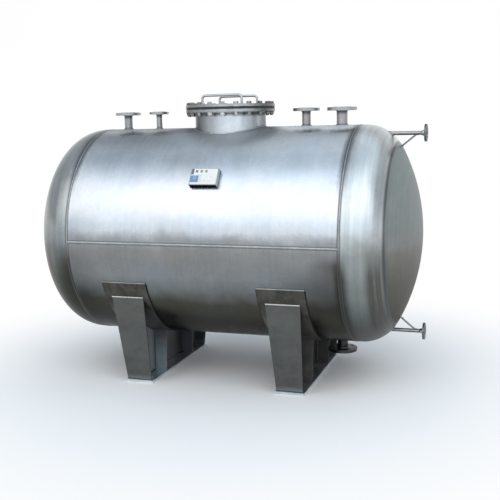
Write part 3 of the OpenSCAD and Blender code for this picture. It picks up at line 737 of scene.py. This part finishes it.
def ring_growth():
    """Copies of a template on a circle about a centre, each with its own small turn."""
    growth = Growth("bolt_ring", (
        ("Count", "Int", 20), ("Circle radius", "Float", 0.24), ("Centre", "Vector", None),
        ("First angle", "Float", 0), ("Template", "Object", None), ("Seed", "Int", 3)))
    given = growth.given
    circle = growth.add("GeometryNodeMeshCircle", {
        "Vertices": given["Count"], "Radius": given["Circle radius"]})
    turn = growth.add("ShaderNodeCombineXYZ", {2: given["First angle"]})
    circle = growth.add("GeometryNodeTransform", {
        "Geometry": circle, "Translation": given["Centre"], "Rotation": turn})
    template = growth.add("GeometryNodeObjectInfo", {"Object": given["Template"]})
    turns = {2: 0, 3: math.pi / 3, "Seed": given["Seed"]}
    spin = growth.add("FunctionNodeRandomValue", turns, data_type="FLOAT")
    spin = growth.add("ShaderNodeCombineXYZ", {2: spin.outputs[1]})
    return growth.close(growth.add("GeometryNodeInstanceOnPoints", {
        "Points": circle, "Instance": template.outputs["Geometry"], "Rotation": spin}))


WELD = weld_growth()


def weld(name, lines, slot, radius, material, closed=False, **values):
    """A bead piece along lines of points."""
    points, edges = [], []
    for line in lines:
        first = len(points)
        points.extend(line)
        edges.extend((first + k, first + k + 1) for k in range(len(line) - 1))
        if closed:
            edges.append((first + len(line) - 1, first))
    seed = bpy.data.meshes.new(name)
    seed.from_pydata(points, edges, [])
    return WELD.grow(name, seed, slot, bead_radius=radius, material=material, **values)


def ring(centre, across, up, count):
    """Points round a centre; the lengths of the two directions are the radii."""
    turns = (2 * math.pi * k / count for k in range(count))
    return [centre + math.cos(turn) * across + math.sin(turn) * up for turn in turns]


def add_ring(shape, *sizes):
    """A ring of new vertices in a shape."""
    return [shape.verts.new(point) for point in ring(*sizes)]


def bridge(shape, rings, caps=False):
    """Quads from each ring of vertices to the next, and flat caps on both ends if wanted."""
    for below, above in zip(rings, rings[1:]):
        for k in range(len(below)):
            after = (k + 1) % len(below)
            shape.faces.new((below[k], below[after], above[after], above[k]))
    if caps:
        shape.faces.new(list(reversed(rings[0])))
        shape.faces.new(rings[-1])


def head_reach(radius):
    """Distance of the head's outer face from the vessel's middle, at a distance from the axis."""
    if radius < CROWN_EDGE:
        return CROWN_MIDDLE + math.sqrt(CROWN_R ** 2 - radius ** 2)
    return HALF_SHELL + HEAD_SKIRT + math.sqrt(max(KNUCKLE_R ** 2 - (radius - KNUCKLE_MIDDLE) ** 2, 0))


def root_line(centre, radius, side, count=96):
    """Where an upright pipe meets the shell; side is 1 on top and -1 below."""
    points = []
    wide = radius + STAND_OFF
    for flat in ring(Vector((centre.x, 0, 0)), wide * X_AXIS, wide * Y_AXIS, count):
        rise = math.sqrt(SHELL_R ** 2 - flat.y ** 2) + STAND_OFF
        points.append(Vector((flat.x, flat.y, AXIS_Z + side * rise)))
    return points


def head_root_line(centre, radius, lift, count=48):
    """Where a level pipe meets the right head."""
    points = []
    wide = radius + lift
    for flat in ring(Vector((0, 0, centre.z - AXIS_Z)), wide * Y_AXIS, wide * Z_AXIS, count):
        x = MIDDLE_X + head_reach(math.hypot(flat.y, flat.z)) + lift
        points.append(Vector((x, flat.y, AXIS_Z + flat.z)))
    return points


def shell_arc(x, radius, start, end, count=90):
    """An arc round the shell at x, from a start to an end angle in degrees; 0 is the front and 90 the top."""
    angles = (math.radians(start + (end - start) * k / (count - 1)) for k in range(count))
    return [Vector((x, -radius * math.cos(a), AXIS_Z + radius * math.sin(a))) for a in angles]


def make_seams():
    """Rippled beads in place of the plain girth and long seams."""
    sunk = SHELL_R - 0.0002
    low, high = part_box("left_girth_weld")
    half_width = (high.x - low.x) / 2
    low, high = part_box("long_seam_weld")
    seams = [("long_seam", [Vector((low.x + (high.x - low.x) * k / 60, -sunk, AXIS_Z)) for k in range(61)],
              False, SEAM_WELD, 0.3)]
    for stem in ("right_girth", "left_girth"):
        centre = Vector((middle_of(stem + "_weld").x, 0, AXIS_Z))
        seams.insert(0, (stem, ring(centre, sunk * Y_AXIS, sunk * Z_AXIS, 360), True, GIRTH_WELD, 0.36))
    for stem, line, closed, material, flatness in seams:
        bead = weld(stem + "_bead", [line], stem + "_weld", half_width, material, closed, flatness=flatness,
                    lies_on_shell=True, ripple_depth=0.12)
        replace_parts(bead, stem + "_weld")


def make_nozzle_welds():
    """Fillets at the roots and flanges of the nozzles, one piece for each nozzle."""
    half_off = STAND_OFF / 2
    for name in sorted(nodes):
        if not name.endswith("_pipe"):
            continue
        stem = name[:-len("_pipe")]
        low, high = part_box(name)
        centre, radius = (low + high) / 2, (high.y - low.y) / 2
        wide = radius + half_off
        flange_low, flange_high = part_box(stem + "_flange")
        if "gauge" in stem:
            root = head_root_line(centre, radius, 0.0008)
            collar = ring(Vector((flange_low.x - half_off, 0, centre.z)), wide * Y_AXIS, wide * Z_AXIS, 48)
        else:
            side = 1 if centre.z > AXIS_Z else -1
            root = root_line(centre, radius, side)
            z = flange_low.z - half_off if side > 0 else flange_high.z + half_off
            collar = ring(Vector((centre.x, 0, z)), wide * X_AXIS, wide * Y_AXIS, 72)
        fillet = GAUGE_FILLET if "gauge" in stem else NOZZLE_FILLET
        weld(stem + "_fillets", [root, collar], name, fillet, ROOT_WELD, True)


def make_manway_welds():
    """Fillets round the manway neck and at the feet of the cover's handles."""
    low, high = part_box("manway_neck")
    centre, radius = (low + high) / 2, (high.y - low.y) / 2
    wide = radius + STAND_OFF
    under = Vector((centre.x, 0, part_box("manway_flange")[0].z - STAND_OFF))
    collar = ring(under, wide * X_AXIS, wide * Y_AXIS, 120)
    lines = [root_line(centre, radius, 1, 160), collar]
    weld("manway_neck_fillets", lines, "manway_neck", NECK_FILLET, NECK_WELD, True)
    for name in ("front_cover_handle", "rear_cover_handle"):
        low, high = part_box(name)
        rod = (high.y - low.y) / 2
        wide = rod + STAND_OFF / 2
        feet = []
        for x in (low.x + rod, high.x - rod):
            foot = Vector((x, (low.y + high.y) / 2, COVER_HIGH.z))
            feet.append(ring(foot, wide * X_AXIS, wide * Y_AXIS, 32))
        weld(name + "_fillets", feet, name, HANDLE_FILLET, ROOT_WELD, True)


def make_gauge_hubs():
    """Tapered hubs where the level gauge pipes meet their flanges: turned shapes, closed on themselves."""
    for name in ("upper_gauge_pipe", "lower_gauge_pipe"):
        stem = name[:-len("_pipe")]
        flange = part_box(stem + "_flange")[0]
        low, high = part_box(name)
        shape = bmesh.new()
        rings = []
        for back, thick in ((0, -0.002), (0, 0.0065), (0.003, 0.0065), (0.014, 0.003), (0.021, 0.0008),
                            (0.021, -0.002)):
            centre = Vector((flange.x - back, 0, (low.z + high.z) / 2))
            wide = (high.y - low.y) / 2 + thick
            rings.append(add_ring(shape, centre, wide * Y_AXIS, wide * Z_AXIS, 48))
        bridge(shape, rings + rings[:1])
        bmesh.ops.recalc_face_normals(shape, faces=shape.faces)
        for face in shape.faces:
            face.smooth = True
        place_piece(stem + "_hub", as_mesh(shape, stem + "_hub", ROD_STEEL), stem + "_flange")


def make_brace_welds():
    """Small fillets at both ends of the gauge braces: round the rod at the head, oval under the pipe."""
    for name, side in (("upper_gauge_brace", 1), ("lower_gauge_brace", -1)):
        low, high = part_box(name)
        pipe_low, pipe_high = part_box(name.replace("_brace", "_pipe"))
        rod = (high.y - low.y) / 2
        near = Vector((low.x + rod, 0, low.z + rod if side > 0 else high.z - rod))
        far = Vector((high.x - rod, 0, high.z - rod if side > 0 else low.z + rod))
        along = (far - near).normalized()
        underside = pipe_low.z if side > 0 else pipe_high.z
        joint = near + (underside - near.z) / along.z * along
        rings = [ring(near + 0.009 * along, rod * Y_AXIS, rod * Y_AXIS.cross(along).normalized(), 32),
                 ring(joint, rod / abs(along.z) * X_AXIS, rod * Y_AXIS, 32)]
        weld(name + "_fillets", rings, name, BRACE_FILLET, ROOT_WELD, True)


def plate_print(name):
    """White printed sheet: a grey corner label, a blue panel, blank header boxes and rows, by its UV map."""
    graph = Finish(name)
    chart = graph.add("ShaderNodeUVMap", uv_map="plate")
    across, up, _ = graph.parts(chart.outputs["UV"])
    place = graph.here()
    clouds = graph.noise(place, 40, 4, 0.6)
    base = clouds.ramp(0.3, 0.7).mix((0.66, 0.68, 0.69), (0.73, 0.73, 0.71))
    for (left, right, bottom, top), share, ink in PLATE_FIELDS:
        inside = across.ramp(left, left + BLUR_ACROSS) * across.fade(right, right + BLUR_ACROSS)
        inside = inside * up.ramp(bottom, bottom + BLUR_UP) * up.fade(top, top + BLUR_UP)
        base = (inside * share).mix(base, ink)
    wear = graph.noise(place, 160, 4, 0.65).ramp(0.62, 0.74, 0, 0.35)
    base = wear.mix(base, (0.45, 0.46, 0.46))
    fine = graph.noise(place, 400, 2)
    return graph.done(base, clouds.ramp(0.3, 0.7, 0.3, 0.42), graph.bump(fine, 0.00003), 0)


def sheet_ring(shape, centre, inset, depth):
    """A ring of the nameplate's rounded outline, pulled in by an inset, at a depth under its front."""
    points = []
    bend = max(PLATE_CORNER - inset, 0.0005)
    for side_x, side_y, start in ((1, 1, 0), (-1, 1, 90), (-1, -1, 180), (1, -1, 270)):
        for k in range(5):
            angle = math.radians(start + 22.5 * k)
            x = side_x * (PLATE_LONG / 2 - inset - bend) + bend * math.cos(angle)
            y = side_y * (PLATE_HIGH / 2 - inset - bend) + bend * math.sin(angle)
            place = centre + x * X_AXIS + y * PLATE_UP + (PLATE_THICK / 2 - depth) * PLATE_OUT
            points.append(shape.verts.new(place))
    return points


def add_rivet(shape, place):
    """A low domed rivet head on the nameplate."""
    rows = []
    for lift, width in ((-0.0003, 1), (0.35 * RIVET_RISE, 0.98), (0.75 * RIVET_RISE, 0.7)):
        wide = width * RIVET_R
        rows.append(add_ring(shape, place + lift * PLATE_OUT, wide * X_AXIS, wide * PLATE_UP, 12))
    bridge(shape, rows)
    top = shape.verts.new(place + RIVET_RISE * PLATE_OUT)
    for k in range(12):
        shape.faces.new((rows[-1][k], rows[-1][(k + 1) % 12], top))
    shape.faces.new(list(reversed(rows[0])))


def make_nameplate():
    """A thin sheet with rounded corners and a rolled border, held by four rivets in its corners."""
    centre = middle_of("nameplate")
    shape = bmesh.new()
    rings = [sheet_ring(shape, centre, inset, depth) for inset, depth in (
        (PLATE_CHAMFER, PLATE_THICK), (0, PLATE_THICK - PLATE_CHAMFER), (0, PLATE_CHAMFER),
        (2 * PLATE_CHAMFER, 0), (PLATE_BORDER, 0), (PLATE_BORDER + PLATE_STEP, PLATE_STEP))]
    bridge(shape, rings, True)
    face_at = centre + (PLATE_THICK / 2 - PLATE_STEP) * PLATE_OUT
    for side_x in (-1, 1):
        for side_y in (-1, 1):
            aside = side_x * (PLATE_LONG / 2 - RIVET_INSET) * X_AXIS
            add_rivet(shape, face_at + aside + side_y * (PLATE_HIGH / 2 - RIVET_INSET) * PLATE_UP)
    bmesh.ops.recalc_face_normals(shape, faces=shape.faces)
    chart = shape.loops.layers.uv.new("plate")
    for face in shape.faces:
        for loop in face.loops:
            away = loop.vert.co - centre
            loop[chart].uv = (0.5 + away.x / PLATE_LONG, 0.5 + away.dot(PLATE_UP) / PLATE_HIGH)
    mesh = as_mesh(shape, "nameplate_sheet", plate_print("printed_sheet"))
    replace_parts(place_piece("nameplate_sheet", mesh, "nameplate"), "nameplate")


def make_bracket_welds():
    """Fillets where the legs of the nameplate's bracket meet the shell."""
    low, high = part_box("nameplate_bracket")
    half = math.degrees(math.asin((PLATE_HIGH / 2 + PLATE_MARGIN) / SHELL_R))
    middle = math.degrees(PLATE_ANGLE)
    legs = [shell_arc(x, SHELL_R + STAND_OFF, middle - half, middle + half, 24)
            for x in (low.x - STAND_OFF, high.x + STAND_OFF)]
    weld("nameplate_bracket_fillets", legs, "nameplate_bracket", BRACKET_FILLET, ROOT_WELD)


def add_prism(shape, radius, low, high, sides, chamfer):
    """A closed upright prism about the z axis with chamfered rims."""
    rows = []
    thin = radius - chamfer
    for wide, z in ((thin, low), (radius, low + chamfer), (radius, high - chamfer), (thin, high)):
        rows.append(add_ring(shape, Vector((0, 0, z)), wide * X_AXIS, wide * Y_AXIS, sides))
    bridge(shape, rows, True)


def make_bolts():
    """Twenty bolts through the manway: head and washer above, washer, nut and thread end below."""
    under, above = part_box("manway_flange")[0].z, COVER_HIGH.z
    middle = (under + above) / 2
    down, up = under - middle, above - middle
    nut = down - WASHER_T - NUT_HEIGHT
    across = BOLT_FLATS / 2 / math.cos(math.pi / 6)
    shape = bmesh.new()
    for sizes in ((WASHER_R, up, up + WASHER_T, 24, 0.0004),
                  (across, up + WASHER_T, up + WASHER_T + BOLT_HEAD, 6, 0.0012),
                  (WASHER_R, down - WASHER_T, down, 24, 0.0004),
                  (across, nut, down - WASHER_T, 6, 0.0012),
                  (BOLT_R, nut - THREAD_END, nut + 0.001, 12, 0.0012)):
        add_prism(shape, *sizes)
    template = bpy.data.objects.new("manway_bolt", as_mesh(shape, "manway_bolt"))
    centre = ((COVER_LOW.x + COVER_HIGH.x) / 2, 0, middle)
    seed_mesh = bpy.data.meshes.new("bolt_seed")
    ring_growth().grow(
        "manway_bolts", seed_mesh, "manway_cover", count=BOLT_COUNT, circle_radius=BOLT_CIRCLE / 2,
        centre=centre, first_angle=math.pi / BOLT_COUNT, template=template, seed=5, material=BOLT_STEEL)
    bpy.data.objects.remove(template)


def make_saddle_welds():
    """Fillets round the wear plate, at the rib tops, between web and ribs, and on the base."""
    steps = (-1, -0.5, 0, 0.5, 1)
    on_plate = SHELL_R + 2 * STAND_OFF
    inside = RIB_THICK + STAND_OFF
    for side in ("left_", "right_"):
        wear_low, wear_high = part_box(side + "saddle_wear_plate")
        rib_low, rib_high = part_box(side + "saddle_outer_ribs")
        web_low, web_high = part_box(side + "saddle_web")
        inner_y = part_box(side + "saddle_inner_ribs")[1].y
        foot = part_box(side + "saddle_base")[1].z + STAND_OFF
        middle = (web_low.x + web_high.x) / 2
        wear_half = (wear_high.x - wear_low.x) / 2
        top_angle = math.degrees(math.asin((AXIS_Z - wear_high.z) / SHELL_R))
        ends = [shell_arc(x, on_plate, -top_angle - 0.6, -180 + top_angle + 0.6)
                for x in (wear_low.x - STAND_OFF, wear_high.x + STAND_OFF)]
        tops = [[shell_arc(middle + wear_half * step, on_plate, angle, angle, 2)[0] for step in steps]
                for angle in (-top_angle + 0.2, -180 + top_angle - 0.2)]

        bright, lines = [], []
        top_y, top_z = rib_high.y, rib_high.z
        half = (rib_high.x - rib_low.x) / 2 - STAND_OFF
        web_sides = (web_low.x - STAND_OFF, web_high.x + STAND_OFF)
        for y in (-1, 1):
            out = y * (top_y + STAND_OFF)
            bright.append([Vector((middle + half * step, out, top_z + STAND_OFF)) for step in steps])
            out = y * (RIB_FOOT_Y + STAND_OFF)
            lines.append([Vector((middle + RIB_FOOT_HALF * step, out, foot)) for step in steps])
            for x in web_sides:
                lines.append([Vector((x, y * (RIB_FOOT_Y - inside), foot + STAND_OFF)),
                              Vector((x, y * (top_y - inside), top_z - 0.004))])
        seat = math.hypot(top_y, AXIS_Z - top_z)
        rib_angle = math.degrees(math.asin((AXIS_Z - top_z) / seat))
        for x in web_sides:
            lines.append([Vector((x, step * (RIB_FOOT_Y - 0.01), foot)) for step in steps])
            lines.append(shell_arc(x, seat - STAND_OFF, -rib_angle - 1, -180 + rib_angle + 1))
            for y in (-inner_y, inner_y - RIB_THICK, RIB_THICK - inner_y, inner_y):
                roof = AXIS_Z - math.sqrt(seat ** 2 - y ** 2)
                lines.append([Vector((x, y, foot + STAND_OFF)), Vector((x, y, roof))])
        for what, group, slot, fillet, material in (
                ("wear_plate_end_fillets", ends, "saddle_wear_plate", SADDLE_FILLET, END_WELD),
                ("wear_plate_top_fillets", tops, "saddle_wear_plate", SADDLE_FILLET, WEAR_WELD),
                ("rib_top_fillets", bright, "saddle_outer_ribs", RIB_TOP_FILLET, BRIGHT_WELD),
                ("saddle_fillets", lines, "saddle_web", SADDLE_FILLET, DULL_WELD)):
            weld(side + what, group, side + slot, fillet, material)


def make_floor():
    """A pale floor that fades into the studio's horizon."""
    shape = bmesh.new()
    bmesh.ops.create_circle(shape, cap_ends=True, segments=96, radius=FLOOR_RADIUS)
    graph = Finish("pale_floor")
    place = graph.here()
    shades = (as_colour(FLOOR_ALBEDO - 0.01), as_colour(FLOOR_ALBEDO + 0.01))
    near = graph.add("ShaderNodeBsdfDiffuse", {"Color": graph.noise(place, 0.8, 2).mix(*shades)})
    far = graph.add("ShaderNodeEmission", {"Color": HORIZON, "Strength": 1})
    share = graph.vector("LENGTH", place).ramp(*FLOOR_FADE)
    blend = graph.add("ShaderNodeMixShader", {0: share, 1: near, 2: far})
    graph.add("ShaderNodeOutputMaterial", {"Surface": blend})
    mesh = as_mesh(shape, "studio_floor", graph.material)
    mesh.transform(Matrix.Translation((0, 0, -FLOOR_DROP)))
    floor = bpy.data.objects.new("studio_floor", mesh)
    bpy.context.scene.collection.objects.link(floor)


def tone(level, tint):
    """A light level with a share of sky blue in it."""
    return (level * (1 - 0.13 * tint), level * (1 - 0.03 * tint), level * (1 + 0.06 * tint))


def make_world():
    """Studio light: a pale backdrop behind, a broad bright sky in front, and dimmer air at the sides."""
    world = bpy.data.worlds.new("studio")
    world.use_nodes = True
    graph = Graph(world.node_tree)
    x, y, z = graph.parts(graph.add("ShaderNodeTexCoord").outputs["Generated"])
    height = graph.math("ARCSINE", z) / (math.pi / 2)
    bearing = graph.math("ARCTAN2", x, y * -1)
    ahead, beside, behind = (
        height.stops([(place / 90, tone(level / SKY_PEAK, tint)) for place, level, tint in sky])
        for sky in (SKY_AHEAD, SKY_BESIDE, SKY_BEHIND))
    lift = x.ramp(-0.4, -0.27, 0, RIGHT_HIGH_LIFT) + x.ramp(0, 0.35, 0, FAR_RIGHT_LIFT)
    lift = (1 + height.ramp(0.38, 0.58) * lift).grey()
    near, far = FRONT_LEFT_HIGH
    high_left = graph.math("DIVIDE", bearing - near, far - near, True)
    high = height.ramp(0.52, 0.64)
    from_left = bearing.ramp(*FRONT_LEFT) * (1 - high) + high_left * high_left * high
    in_front = from_left * bearing.fade(*FRONT_RIGHT)
    colour = in_front.mix(graph.tint(beside, lift), ahead)
    colour = abs(bearing).ramp(*BACK_SIDES).mix(colour, graph.tint(behind, lift))
    light = graph.add("ShaderNodeBackground", {"Color": colour, "Strength": SKY_PEAK})
    graph.add("ShaderNodeOutputWorld", {"Surface": light})
    bpy.context.scene.world = world


def make_camera():
    """The photograph's camera: position, direction and roll from the solved view."""
    yaw, pitch, roll = (math.radians(angle) for angle in (CAMERA_YAW, CAMERA_PITCH, CAMERA_ROLL))
    data = bpy.data.cameras.new("camera")
    data.lens = CAMERA_LENS
    data.sensor_width = CAMERA_SENSOR
    data.clip_end = CAMERA_FAR
    camera = bpy.data.objects.new("camera", data)
    bpy.context.scene.collection.objects.link(camera)
    tilt = Matrix.Rotation(math.pi / 2 - pitch, 4, "X") @ Matrix.Rotation(-roll, 4, "Z")
    camera.matrix_world = Matrix.Translation(CAMERA_AT) @ Matrix.Rotation(yaw, 4, "Z") @ tilt
    bpy.context.scene.camera = camera


make_seams()
make_nozzle_welds()
make_manway_welds()
make_gauge_hubs()
make_brace_welds()
make_bracket_welds()
make_nameplate()
make_bolts()
make_saddle_welds()
make_floor()
make_world()
make_camera()
bpy.context.scene.view_settings.view_transform = "Standard"
